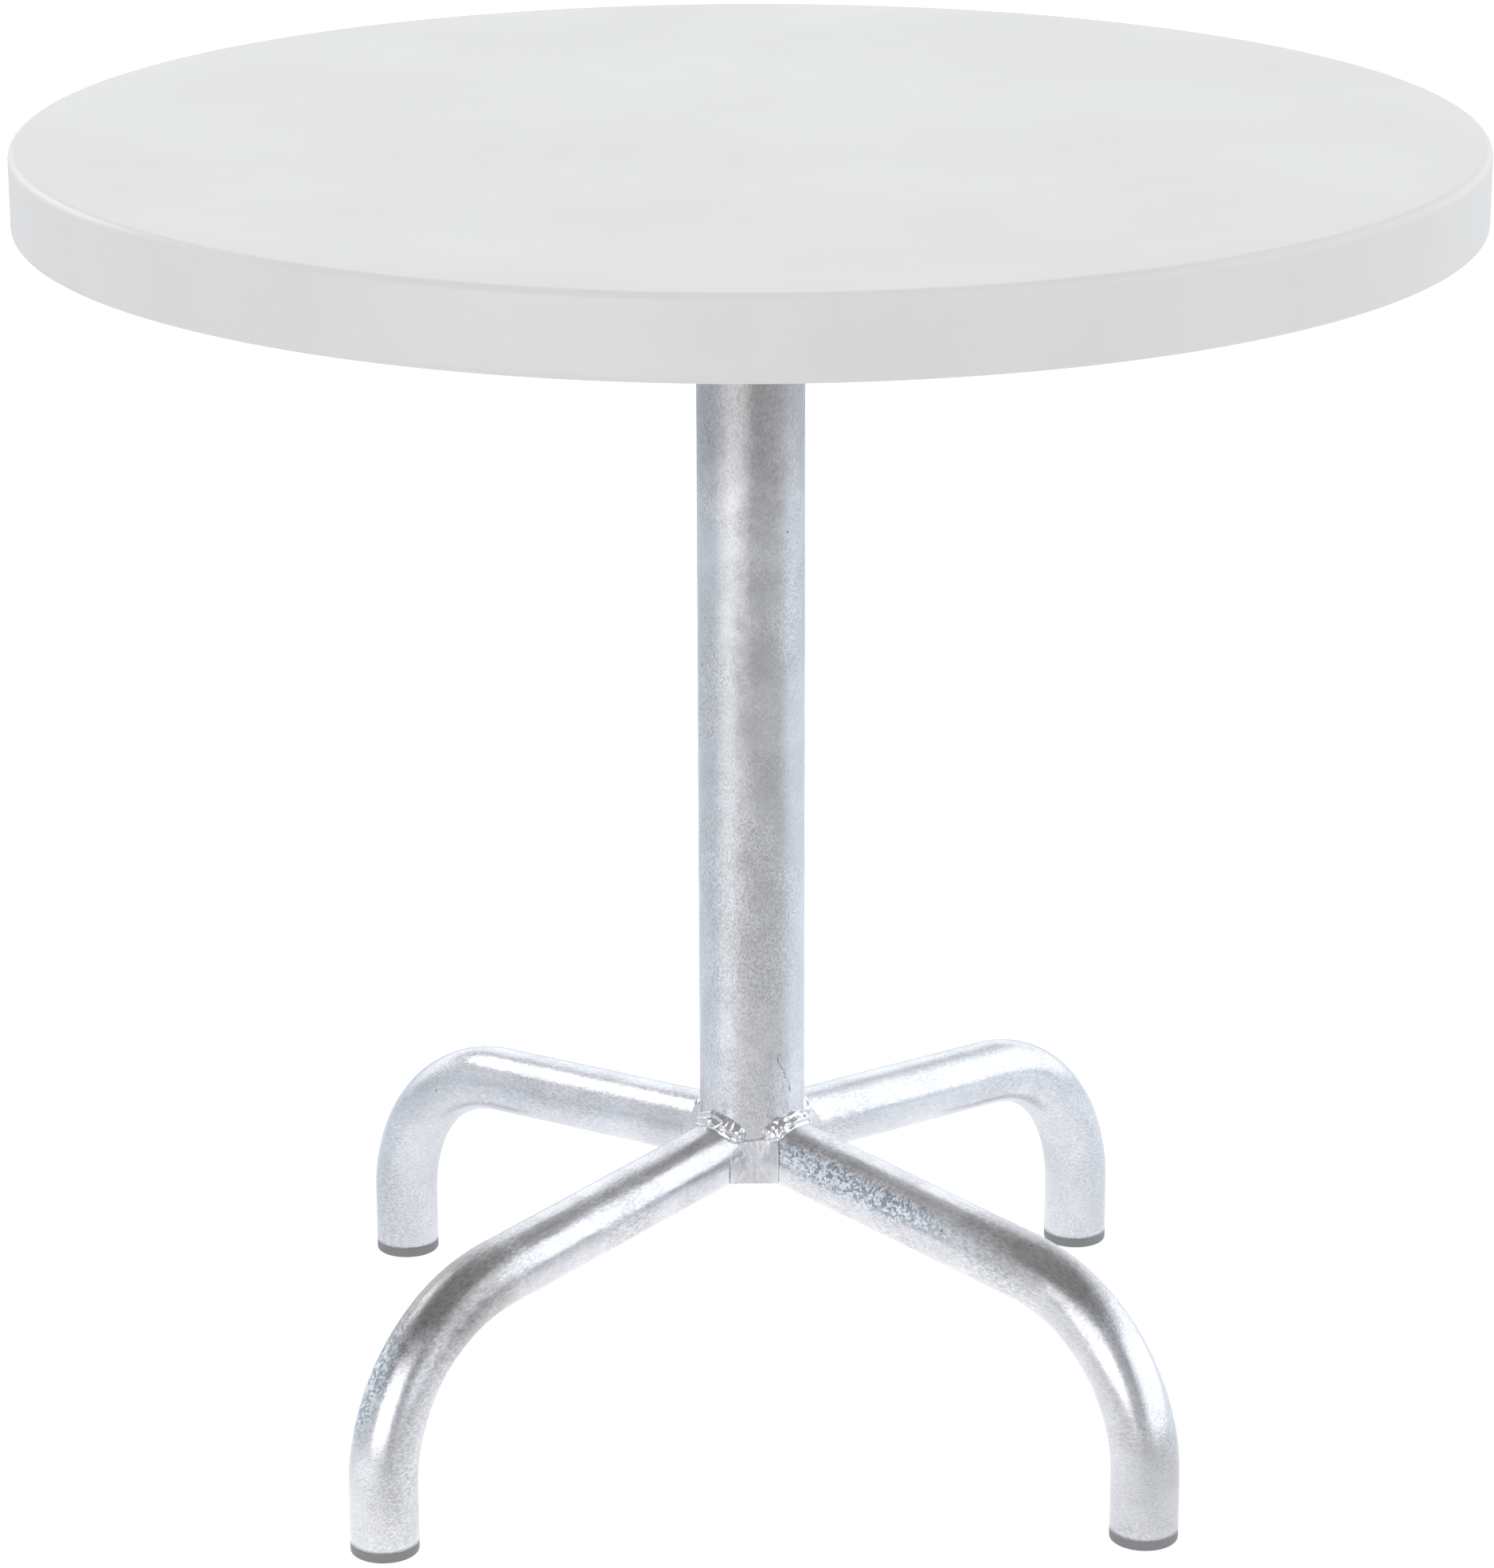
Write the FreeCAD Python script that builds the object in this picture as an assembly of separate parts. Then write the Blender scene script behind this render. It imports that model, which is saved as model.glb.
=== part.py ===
import FreeCAD, Part
import math
import os

# Bistro table: a round glass-fibre top on a welded, galvanised tube pedestal with four bent legs.
# Origin on the floor under the column, +Z up, millimetres. The legs stand at 45 degrees to X and Y.

# Whole table
table_height = 745.0
top_diameter = 800.0

# Moulded top: a flat face with a turned-down rim
rim_height = 44.0
rim_wall = 6.0
face_wall = 4.0
top_edge_radius = 5.0
rim_edge_radius = 2.8
inner_corner_radius = 6.0

# Core board under the face, and the glass-fibre laminate that holds it
core_rim_gap = 64.0
core_thickness = 15.0
laminate_thickness = 2.0
laminate_flange = 25.0

# Steel cross that carries the top
plate_side = 120.0
steel_thickness = 6.0
plate_vent_diameter = 20.0
arm_width = 40.0
arm_core_margin = 60.0
arm_corner_radius = 8.0
arm_weld_width = 8.0
arm_weld_height = 1.6
inner_screw_margin = 45.0
outer_screw_margin = 20.0

# Screws, washers and inserts
screw_diameter = 6.0
screw_length = 16.0
screw_head_width = 10.0
screw_head_height = 4.0
arm_hole_clearance = 0.5
washer_diameter = 12.0
washer_thickness = 1.6
insert_diameter = 10.0
insert_cover = 4.0
insert_hole_relief = 1.0
screw_clearance = 0.05

# Column
column_diameter = 60.3
column_wall = 2.9
vent_diameter = 12.0
head_weld_size = 5.0

# Legs: a straight run that falls outwards, a bend and an upright shank
leg_count = 4
leg_diameter = 38.0
leg_wall = 2.6
leg_first_azimuth = 45.0
leg_fall_angle = 6.0
leg_bend_radius = 98.0
leg_shank_length = 31.8
foot_radius = 295.0
column_end_above_legs = 1.0

# Hub welds: a bead over each leg, and a concave fill between neighbouring legs
bead_radius = 6.0
bead_half_angle = 68.0
bead_stations = 13
fill_throat = 4.6
fill_column_step = 1.0
fill_bead_overlap = 1.0

# Foot caps
cap_flange_height = 6.0
cap_edge_radius = 2.5
cap_stem_length = 24.0
cap_stem_wall = 2.5
cap_rib_count = 3
cap_rib_height = 1.2
cap_rib_length = 2.5
cap_clearance = 0.05

# Worked out from the sizes above
top_radius = top_diameter / 2
column_radius = column_diameter / 2
leg_radius = leg_diameter / 2
core_radius = top_radius - rim_wall - core_rim_gap
arm_start_radius = plate_side / 2
arm_tip_radius = core_radius - arm_core_margin
inner_screw_radius = arm_start_radius + inner_screw_margin
outer_screw_radius = arm_tip_radius - outer_screw_margin
face_underside = table_height - face_wall
core_underside = face_underside - core_thickness
laminate_underside = core_underside - laminate_thickness
steel_underside = laminate_underside - steel_thickness
insert_length = laminate_thickness + core_thickness - insert_cover
insert_hole_depth = insert_length + insert_hole_relief
screw_bore_radius = screw_diameter / 2 + screw_clearance
leg_fall = math.radians(leg_fall_angle)
leg_bend_angle = math.pi / 2 - leg_fall
leg_bend_tangent = leg_bend_radius * math.tan(leg_bend_angle / 2)
leg_bend_end_height = cap_flange_height + leg_shank_length
leg_corner_height = leg_bend_end_height + leg_bend_tangent
leg_axis_height = leg_corner_height + foot_radius * math.tan(leg_fall)
column_bottom_height = leg_axis_height - leg_radius + column_end_above_legs
half_spacing = math.pi / leg_count
up = FreeCAD.Vector(0, 0, 1)


def point(x, y, z):
    return FreeCAD.Vector(x, y, z)


def turned(shape, angle):
    """The shape turned about the column's axis by an angle in degrees."""
    copy = shape.copy()
    copy.rotate(point(0, 0, 0), up, angle)
    return copy


def disc(radius, bottom, height, x=0.0):
    return Part.makeCylinder(radius, height, point(x, 0, bottom))


def line(start, end):
    return Part.makeLine(point(start[0], 0, start[1]), point(end[0], 0, end[1]))


def arc(centre, radius, from_angle, to_angle):
    """An arc in the XZ plane, angles in degrees from +X towards +Z."""
    angles = [math.radians(a) for a in (from_angle, (from_angle + to_angle) / 2, to_angle)]
    on_arc = [point(centre[0] + radius * math.cos(a), 0, centre[1] + radius * math.sin(a)) for a in angles]
    return Part.Arc(*on_arc).toShape()


def wedge(length, half_angle, bottom, height):
    """A three-cornered prism that opens from the axis along +X, half_angle in radians to each side."""
    width = length * math.tan(half_angle)
    corners = [(0, 0), (length, -width), (length, width), (0, 0)]
    outline = Part.makePolygon([point(x, y, bottom) for x, y in corners])
    return Part.Face(outline).extrude(point(0, 0, height))


def revolved(edges):
    """The solid of revolution about Z of a closed outline in the XZ plane."""
    outline = Part.Wire(Part.__sortEdges__(edges))
    return Part.Face(outline).revolve(point(0, 0, 0), up, 360)


def table_top():
    rim_bottom = table_height - rim_height
    inner_radius = top_radius - rim_wall
    edge = top_edge_radius
    lower = rim_edge_radius
    corner = inner_corner_radius
    return revolved([
        line((0, table_height), (top_radius - edge, table_height)),
        arc((top_radius - edge, table_height - edge), edge, 90, 0),
        line((top_radius, table_height - edge), (top_radius, rim_bottom + lower)),
        arc((top_radius - lower, rim_bottom + lower), lower, 0, -90),
        line((top_radius - lower, rim_bottom), (inner_radius, rim_bottom)),
        line((inner_radius, rim_bottom), (inner_radius, face_underside - corner)),
        arc((inner_radius - corner, face_underside - corner), corner, 0, 90),
        line((inner_radius - corner, face_underside), (0, face_underside)),
        line((0, face_underside), (0, table_height)),
    ])


def screw_places():
    """Distance from the axis and turn about it of every screw."""
    distances = (inner_screw_radius, outer_screw_radius)
    return [(distance, k * 90) for k in range(4) for distance in distances]


def at_each_screw(shape_at):
    """Copies of the shape that shape_at(distance) makes, one at each screw."""
    return [turned(shape_at(distance), angle) for distance, angle in screw_places()]


def insert_holes(bottom, depth):
    return at_each_screw(lambda x: disc(insert_diameter / 2, bottom, depth, x))


def core_board():
    board = disc(core_radius, core_underside, core_thickness)
    depth = insert_hole_depth - laminate_thickness
    return board.cut(insert_holes(core_underside, depth))


def core_laminate():
    flange = disc(core_radius + laminate_flange, face_underside - laminate_thickness, laminate_thickness)
    cup = disc(core_radius + laminate_thickness, laminate_underside, face_underside - laminate_underside)
    skin = flange.fuse(cup).cut(disc(core_radius, core_underside, core_thickness))
    return skin.cut(insert_holes(laminate_underside, laminate_thickness)).removeSplitter()


def threaded_inserts():
    def insert(x):
        body = disc(insert_diameter / 2, laminate_underside, insert_length, x)
        return body.cut(disc(screw_bore_radius, laminate_underside, insert_length, x))

    return Part.makeCompound(at_each_screw(insert))


def head_plate():
    corner = point(-arm_start_radius, -arm_start_radius, steel_underside)
    plate = Part.makeBox(plate_side, plate_side, steel_thickness, corner)
    return plate.cut(disc(plate_vent_diameter / 2, steel_underside, steel_thickness))


def cross_arm():
    length = arm_tip_radius - arm_start_radius
    corner = point(arm_start_radius, -arm_width / 2, steel_underside)
    arm = Part.makeBox(length, arm_width, steel_thickness, corner)
    upright_edges = [edge for edge in arm.Edges if edge.BoundBox.ZLength > steel_thickness / 2]
    tip_edges = [edge for edge in upright_edges if edge.BoundBox.XMin > arm_start_radius + length / 2]
    arm = arm.makeFillet(arm_corner_radius, tip_edges)
    hole_radius = screw_diameter / 2 + arm_hole_clearance
    screws = (inner_screw_radius, outer_screw_radius)
    return arm.cut([disc(hole_radius, steel_underside, steel_thickness, x) for x in screws])


def arm_weld():
    """A low bead across the underside of the joint between an arm and the plate."""
    half = arm_weld_width / 2
    joint = arm_start_radius
    bead_face = Part.Face(Part.Wire([
        line((joint - half, steel_underside), (joint + half, steel_underside)),
        Part.Arc(point(joint + half, 0, steel_underside),
                 point(joint, 0, steel_underside - arm_weld_height),
                 point(joint - half, 0, steel_underside)).toShape(),
    ]))
    bead = bead_face.extrude(point(0, arm_width, 0))
    bead.translate(point(0, -arm_width / 2, 0))
    return bead


def washer(x):
    bottom = steel_underside - washer_thickness
    ring = disc(washer_diameter / 2, bottom, washer_thickness, x)
    return ring.cut(disc(screw_bore_radius, bottom, washer_thickness, x))


def hex_screw(x):
    bearing_height = steel_underside - washer_thickness
    corner_radius = screw_head_width / math.sqrt(3)
    corners = [point(x + corner_radius * math.cos(math.radians(60 * k)),
                     corner_radius * math.sin(math.radians(60 * k)),
                     bearing_height - screw_head_height) for k in range(7)]
    head = Part.Face(Part.makePolygon(corners)).extrude(point(0, 0, screw_head_height))
    return head.fuse(disc(screw_diameter / 2, bearing_height, screw_length, x))


def head_weld():
    corner = (column_radius, steel_underside)
    plate_toe = (column_radius + head_weld_size, steel_underside)
    column_toe = (column_radius, steel_underside - head_weld_size)
    return revolved([line(corner, plate_toe), line(plate_toe, column_toe), line(column_toe, corner)])


def leg_azimuths():
    return [leg_first_azimuth + 360 * k / leg_count for k in range(leg_count)]


def own_space():
    """The share of the space about the axis that belongs to the leg along +X."""
    return wedge(top_diameter, half_spacing, 0, table_height)


def leg_line():
    """The leg's centreline in the XZ plane: start on the axis, bend start, bend middle, bend end, foot."""
    def on_bend(angle):
        x = foot_radius - leg_bend_radius + leg_bend_radius * math.cos(angle)
        return point(x, 0, leg_bend_end_height + leg_bend_radius * math.sin(angle))

    start = point(0, 0, leg_axis_height)
    foot = point(foot_radius, 0, cap_flange_height)
    return [start, on_bend(leg_bend_angle), on_bend(leg_bend_angle / 2), on_bend(0), foot]


def leg_bar(radius):
    """A round bar along the leg's centreline."""
    start, bend_start, bend_middle, bend_end, foot = leg_line()
    path = Part.Wire([
        Part.makeLine(start, bend_start),
        Part.Arc(bend_start, bend_middle, bend_end).toShape(),
        Part.makeLine(bend_end, foot),
    ])
    section = Part.Wire(Part.makeCircle(radius, start, bend_start - start))
    return path.makePipeShell([section], True, False)


def column_bar(radius, bottom=0.0):
    return disc(radius, bottom, steel_underside - bottom)


def leg():
    """Leg tube along +X, coped to the column's outside and kept to its own share of the space."""
    tube = leg_bar(leg_radius).cut(leg_bar(leg_radius - leg_wall))
    return tube.cut(column_bar(column_radius)).common(own_space())


def column_tube():
    tube = column_bar(column_radius, column_bottom_height).cut(column_bar(column_radius - column_wall))
    start, bend_start = leg_line()[:2]
    vent = Part.makeCylinder(vent_diameter / 2, column_diameter, start, bend_start - start)
    return tube.cut([turned(vent, azimuth) for azimuth in leg_azimuths()])


def seam_point(angle):
    """Where the outside of the leg along +X meets the column, by angle round the leg from its top."""
    side = leg_radius * math.sin(angle)
    lift = leg_radius * math.cos(angle)
    x = math.sqrt(column_radius ** 2 - side ** 2)
    along = (x - lift * math.sin(leg_fall)) / math.cos(leg_fall)
    return point(x, side, leg_axis_height - along * math.sin(leg_fall) + lift * math.cos(leg_fall))


def leg_bead():
    """Weld bead over the upper side of the leg's cope: a round bead on the seam, outside both tubes."""
    half = math.radians(bead_half_angle)
    stations = [half * (2 * k / (bead_stations - 1) - 1) for k in range(bead_stations)]
    seam = Part.BSplineCurve()
    seam.interpolate([seam_point(angle) for angle in stations])
    path = Part.Wire(seam.toShape())
    section = Part.Wire(Part.makeCircle(bead_radius, seam.value(0), seam.tangent(0)[0]))
    bead = path.makePipeShell([section], True, True)
    return bead.cut([column_bar(column_radius), leg_bar(leg_radius)]).common(own_space())


def crotch_fill():
    """Concave weld fill along +X between two neighbouring legs, from the column's lower end to the beads."""
    spread = 1 / math.sin(half_spacing)
    fill_radius = (column_radius + fill_throat - leg_radius * spread) / (spread - 1)
    centre_x = (leg_radius + fill_radius) * spread
    edge_x = centre_x - fill_radius * math.sin(half_spacing)
    edge_angle = math.atan2(fill_radius * math.cos(half_spacing), edge_x)
    bottom = column_bottom_height + fill_column_step
    height = seam_point(math.radians(bead_half_angle)).z + fill_bead_overlap - bottom
    fill = wedge(edge_x, edge_angle, bottom, height).cut(disc(fill_radius, bottom, height, centre_x))
    sides = [math.degrees(half_spacing) * side for side in (-1, 1)]
    neighbours = [turned(shape, side) for shape in (leg_bar(leg_radius), leg_bead()) for side in sides]
    fill = fill.cut([column_bar(column_radius)] + neighbours)
    return max(fill.Solids, key=lambda solid: solid.Volume)


def foot_cap():
    """Ribbed cap along the foot's axis: a flange under the tube's end and a hollow stem inside it."""
    stem_radius = leg_radius - leg_wall - cap_rib_height - cap_clearance
    flange = disc(leg_radius, 0, cap_flange_height, foot_radius)
    bottom_edge = [edge for edge in flange.Edges if edge.BoundBox.ZMax < cap_flange_height / 2]
    cap = flange.makeFillet(cap_edge_radius, bottom_edge)
    cap = cap.fuse(disc(stem_radius, cap_flange_height, cap_stem_length, foot_radius))
    rib_step = cap_stem_length / (cap_rib_count + 1)
    for k in range(cap_rib_count):
        rib_bottom = cap_flange_height + (k + 1) * rib_step - cap_rib_length / 2
        cap = cap.fuse(disc(stem_radius + cap_rib_height, rib_bottom, cap_rib_length, foot_radius))
    hollow = disc(stem_radius - cap_stem_wall, cap_flange_height, cap_stem_length, foot_radius)
    return cap.cut(hollow)


def all_nodes():
    """Every piece of the table by its node's name."""
    nodes = {
        "table_top": table_top(),
        "core_board": core_board(),
        "core_laminate": core_laminate(),
        "threaded_inserts": threaded_inserts(),
        "head_plate": head_plate(),
        "arm_screws": Part.makeCompound(at_each_screw(hex_screw)),
        "arm_washers": Part.makeCompound(at_each_screw(washer)),
        "head_weld": head_weld(),
        "column_tube": column_tube(),
    }
    for k in range(4):
        nodes[f"cross_arm_{k + 1}"] = turned(cross_arm(), 90 * k)
        nodes[f"arm_weld_{k + 1}"] = turned(arm_weld(), 90 * k)

    for k, azimuth in enumerate(leg_azimuths()):
        nodes[f"leg_{k + 1}"] = turned(leg(), azimuth)
        nodes[f"leg_weld_{k + 1}"] = turned(leg_bead(), azimuth)
        nodes[f"crotch_weld_{k + 1}"] = turned(crotch_fill(), azimuth + math.degrees(half_spacing))
        nodes[f"foot_cap_{k + 1}"] = turned(foot_cap(), azimuth)
    return nodes


os.makedirs("parts", exist_ok=True)
for name, shape in all_nodes().items():
    shape.exportStep(f"parts/{name}.step")
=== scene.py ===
"""Bistro table: the looks of a moulded round top on a galvanised tube pedestal, laid out as an add-on."""
from math import cos, hypot, pi, radians, sin, sqrt, tan

import bmesh
import bpy
from bpy.props import FloatProperty, FloatVectorProperty, IntProperty, PointerProperty
from mathutils import Euler, Matrix, Vector, noise


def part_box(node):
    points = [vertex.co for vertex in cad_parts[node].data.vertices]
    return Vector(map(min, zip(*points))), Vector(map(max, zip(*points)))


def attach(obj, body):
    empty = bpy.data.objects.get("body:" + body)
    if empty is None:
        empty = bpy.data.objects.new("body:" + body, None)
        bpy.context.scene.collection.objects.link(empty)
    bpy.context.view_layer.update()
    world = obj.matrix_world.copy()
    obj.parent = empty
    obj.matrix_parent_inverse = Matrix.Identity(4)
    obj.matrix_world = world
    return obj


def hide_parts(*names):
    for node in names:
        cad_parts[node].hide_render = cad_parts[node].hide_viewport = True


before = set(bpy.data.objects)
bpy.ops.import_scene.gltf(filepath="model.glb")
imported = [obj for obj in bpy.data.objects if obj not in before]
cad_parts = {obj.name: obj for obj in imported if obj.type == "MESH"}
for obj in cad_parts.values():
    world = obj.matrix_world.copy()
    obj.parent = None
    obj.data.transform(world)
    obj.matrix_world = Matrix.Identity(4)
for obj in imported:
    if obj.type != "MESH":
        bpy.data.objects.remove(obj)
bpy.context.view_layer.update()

bl_info = {
    "name": "Bistro Table",
    "version": (1, 0, 0),
    "blender": (4, 5, 0),
    "location": "View3D > Sidebar > Bistro Table",
    "description": "Builds the pieces, finishes and studio of a galvanised bistro table",
    "category": "Object",
}

BODY = "root"
MM = 0.001
QUARTER = pi / 2

# Sizes read from the frame, in metres
TOP_LOW, TOP_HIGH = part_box("table_top")
COLUMN_LOW, COLUMN_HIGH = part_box("column_tube")
CAP_LOW, CAP_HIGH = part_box("foot_cap_1")
TOP_RADIUS = TOP_HIGH.x
COLUMN_RADIUS = COLUMN_HIGH.x
LEG_RADIUS = (CAP_HIGH.x - CAP_LOW.x) / 2
FOOT_CENTRE = (CAP_LOW + CAP_HIGH) / 2
FOOT_RADIUS = hypot(FOOT_CENTRE.x, FOOT_CENTRE.y)

# Sizes of the design that no box shows, in metres and radians
RIM_WALL = 6 * MM
FACE_WALL = 4 * MM
TOP_EDGE_RADIUS = 5 * MM
RIM_EDGE_RADIUS = 2.8 * MM
INNER_CORNER_RADIUS = 6 * MM
COLUMN_WALL = 2.9 * MM
CAP_FLANGE = 6 * MM
SHANK_LENGTH = 31.8 * MM
BEND_RADIUS = 98 * MM
FALL = radians(6)
BEND_ANGLE = QUARTER - FALL
BEND_END_HEIGHT = CAP_FLANGE + SHANK_LENGTH
BEND_TANGENT = BEND_RADIUS * tan(BEND_ANGLE / 2)
LEG_AXIS_HEIGHT = BEND_END_HEIGHT + BEND_TANGENT + FOOT_RADIUS * tan(FALL)
LEG_AZIMUTHS = [radians(45 + 90 * k) for k in range(4)]


# ---- settings

def colour_setting(name, description, default):
    return FloatVectorProperty(
        name=name, description=description, subtype="COLOR", size=3, min=0, max=1, default=default)


def length_setting(name, description, default, low, high):
    return FloatProperty(
        name=name, description=description, unit="LENGTH", default=default, min=low, max=high)


def angle_setting(name, description, degrees):
    return FloatProperty(
        name=name, description=description, subtype="ANGLE", default=radians(degrees))


class ZincSettings(bpy.types.PropertyGroup):
    tint: colour_setting("Zinc colour", "Reflection colour of the clean zinc coat", (0.715, 0.712, 0.741))
    # The darker zinc colour also paints shade on the column under the top.
    dull_and_shade: colour_setting("Dull zinc and shade colour", "Colour of the grey, weathered patches", (0.24, 0.225, 0.22))
    spangle: length_setting("Spangle size", "Width of one zinc crystal", 1.5 * MM, 1 * MM, 40 * MM)
    grain: length_setting("Grain size", "Width of the coat's fine frosting", 1.1 * MM, 0.2 * MM, 10 * MM)


class GelcoatSettings(bpy.types.PropertyGroup):
    colour: colour_setting("Gelcoat colour", "Colour of the moulded top's outside", (0.732, 0.724, 0.720))
    segments: IntProperty(
        name="Segments", description="Flat sides round the top's edge", default=256, min=32, max=1024)


class WeldSettings(bpy.types.PropertyGroup):
    bead_width: length_setting(
        "Bead leg", "How far a bead reaches over each of the two tubes", 7 * MM, 2 * MM, 12 * MM)
    ripple_pitch: length_setting(
        "Ripple pitch", "Distance between two ripples along a bead", 4.2 * MM, 1 * MM, 12 * MM)


class CapSettings(bpy.types.PropertyGroup):
    colour: colour_setting("Cap colour", "Colour of the plastic foot caps", (0.235, 0.24, 0.25))


class StageSettings(bpy.types.PropertyGroup):
    floor_colour: colour_setting("Floor colour", "Colour of the pale studio floor", (0.9, 0.9, 0.9))
    camera_distance: length_setting(
        "Camera distance", "From the column's axis to the camera, level", 2.789, 1, 20)
    camera_height: length_setting("Camera height", "From the floor to the camera", 1.2934, 0, 10)
    camera_turn: angle_setting(
        "Camera turn", "How far round the camera stands to the left of the front", 1.821)
    camera_heading: angle_setting(
        "Camera heading", "Where the camera looks, clockwise from straight ahead", 1.769)
    camera_pitch: angle_setting("Camera pitch", "How far the camera looks down", 18.315)
    camera_roll: angle_setting("Camera roll", "How far the camera leans to its right", 0.133)


# ---- mesh helpers

def new_piece(name, mesh, material_slot, materials, *cad_nodes):
    """A smooth piece of the table in place of CAD nodes, with its finishes."""
    piece = bpy.data.objects.new(name, mesh)
    bpy.context.scene.collection.objects.link(piece)
    for polygon in mesh.polygons:
        polygon.use_smooth = True
    for material in materials:
        mesh.materials.append(material)
    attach(piece, BODY)
    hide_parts(*cad_nodes)
    return piece


def finish_node(node_name, material, bevel=0.0):
    """Gives a CAD node its finish and, where wanted, lightly rounded edges."""
    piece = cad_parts[node_name]
    for index, material_slot in enumerate(piece.material_slots):
        material_slot.link = "DATA"
        piece.data.materials[index] = material
    if not piece.material_slots:
        piece.data.materials.append(material)
    if bevel:
        rounding = piece.modifiers.new("Rounded edges", "BEVEL")
        rounding.width = bevel
        rounding.segments = 3
        rounding.limit_method = "ANGLE"
        rounding.angle_limit = radians(40)


def skin(name, rings):
    """A mesh over closed rings of equal length, with flat ends."""
    build = bmesh.new()
    rows = [[build.verts.new(place) for place in ring] for ring in rings]
    count = len(rows[0])
    for below, above in zip(rows, rows[1:]):
        for k in range(count):
            after = (k + 1) % count
            build.faces.new((below[k], below[after], above[after], above[k]))
    build.faces.new(list(reversed(rows[0])))
    build.faces.new(rows[-1])
    bmesh.ops.recalc_face_normals(build, faces=build.faces)
    mesh = bpy.data.meshes.new(name)
    build.to_mesh(mesh)
    build.free()
    return mesh


def lathe(name, profile, segments, centre=(0.0, 0.0)):
    """A mesh turned about an upright axis from (radius, height) points, and the band of each face.

    A radius of 0 closes to a point, and an outline that ends where it starts closes to a ring.
    """
    build = bmesh.new()
    turns = [2 * pi * k / segments for k in range(segments)]
    rows = []
    for radius, height in profile:
        if rows and (radius, height) == profile[0]:
            rows.append(rows[0])
        elif radius == 0:
            rows.append([build.verts.new((*centre, height))])
        else:
            spokes = [(radius * cos(turn), radius * sin(turn)) for turn in turns]
            ring = [(centre[0] + x, centre[1] + y, height) for x, y in spokes]
            rows.append([build.verts.new(place) for place in ring])
    bands = []
    for below, above in zip(rows, rows[1:]):
        band = []
        for k in range(segments):
            after = (k + 1) % segments
            corners = [below[k % len(below)], below[after % len(below)],
                       above[after % len(above)], above[k % len(above)]]
            band.append(build.faces.new(list(dict.fromkeys(corners))))
        bands.append(band)
    bmesh.ops.recalc_face_normals(build, faces=build.faces)
    build.faces.index_update()
    face_bands = {face.index: index for index, band in enumerate(bands) for face in band}
    mesh = bpy.data.meshes.new(name)
    build.to_mesh(mesh)
    build.free()
    return mesh, face_bands


def rounded(centre, radius, first_angle, last_angle, steps):
    """Points of an arc in a (radius, height) outline, angles in degrees from outwards towards up."""
    swing = last_angle - first_angle
    angles = [radians(first_angle + swing * k / steps) for k in range(steps + 1)]
    return [(centre[0] + radius * cos(a), centre[1] + radius * sin(a)) for a in angles]


def lump(place, size, height):
    """A small smooth unevenness: up to height, in lumps of about the given size."""
    return height * noise.noise(Vector(place) / size)


# ---- node helpers

def add_node(tree, kind, inputs=None, **settings):
    """A new shader node with its settings, whose inputs are linked to a socket or given a value."""
    made = tree.nodes.new("ShaderNode" + kind)
    for name, value in settings.items():
        setattr(made, name, value)
    for key, value in (inputs or {}).items():
        if isinstance(value, bpy.types.NodeSocket):
            tree.links.new(value, made.inputs[key])
        else:
            made.inputs[key].default_value = value
    return made


def maths(tree, operation, first, second=0.0, clamp=False):
    made = add_node(tree, "Math", {0: first, 1: second}, operation=operation, use_clamp=clamp)
    return made.outputs[0]


def add(tree, first, second):
    return maths(tree, "ADD", first, second)


def multiply(tree, first, second):
    return maths(tree, "MULTIPLY", first, second)


def weighted_sum(tree, *terms):
    """The sum of values, each given with its weight."""
    parts = [multiply(tree, value, weight) for value, weight in terms]
    total = parts[0]
    for part in parts[1:]:
        total = add(tree, total, part)
    return total


def object_place(tree):
    """The place on the object's own axes, in metres."""
    return add_node(tree, "TexCoord").outputs["Object"]


def parts_of(tree, vector):
    """The X, Y and Z of a vector."""
    return add_node(tree, "SeparateXYZ", {0: vector}).outputs


def vector_maths(tree, operation, first, second=(0, 0, 0)):
    made = add_node(tree, "VectorMath", {0: first, 1: second}, operation=operation)
    return made.outputs["Value" if operation == "LENGTH" else "Vector"]


def map_range(tree, value, low, high, to_low=0.0, to_high=1.0, interpolation="SMOOTHSTEP"):
    """A value between low and high, moved to another range and held at its ends."""
    inputs = {"Value": value, "From Min": low, "From Max": high, "To Min": to_low, "To Max": to_high}
    made = add_node(tree, "MapRange", inputs, interpolation_type=interpolation)
    return made.outputs[0]


def mix_colour(tree, factor, first, second, blend="MIX"):
    inputs = {0: factor, 6: first, 7: second}
    made = add_node(tree, "Mix", inputs, data_type="RGBA", blend_type=blend)
    return made.outputs[2]


def tinted(tree, colour, tint):
    return mix_colour(tree, 1.0, colour, tint, "MULTIPLY")


def blend_value(tree, factor, first, second):
    return add_node(tree, "Mix", {0: factor, 2: first, 3: second}, data_type="FLOAT").outputs[0]


def zone(tree, place, centre, size, ragged):
    """1 inside an ellipsoid, fading to 0 across a border that a ragged value near 0.6 moves."""
    offset = vector_maths(tree, "DIVIDE", vector_maths(tree, "SUBTRACT", place, centre), size)
    reach = vector_maths(tree, "LENGTH", offset)
    return map_range(tree, add(tree, reach, ragged), 2.1, 1.0)


def noise_value(tree, vector, size, detail=2.0, roughness=0.5, stretch=None):
    """Noise from 0 to 1 with features of about the given size, longer where stretch is below 1."""
    if stretch:
        vector = add_node(tree, "Mapping", {"Vector": vector, "Scale": stretch}).outputs[0]
    inputs = {"Vector": vector, "Scale": 1.0 / size, "Detail": detail, "Roughness": roughness}
    return add_node(tree, "TexNoise", inputs).outputs["Fac"]


def socket_kind(default):
    if isinstance(default, float):
        return "NodeSocketFloat"
    return "NodeSocketColor" if len(default) == 4 else "NodeSocketVector"


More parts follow.
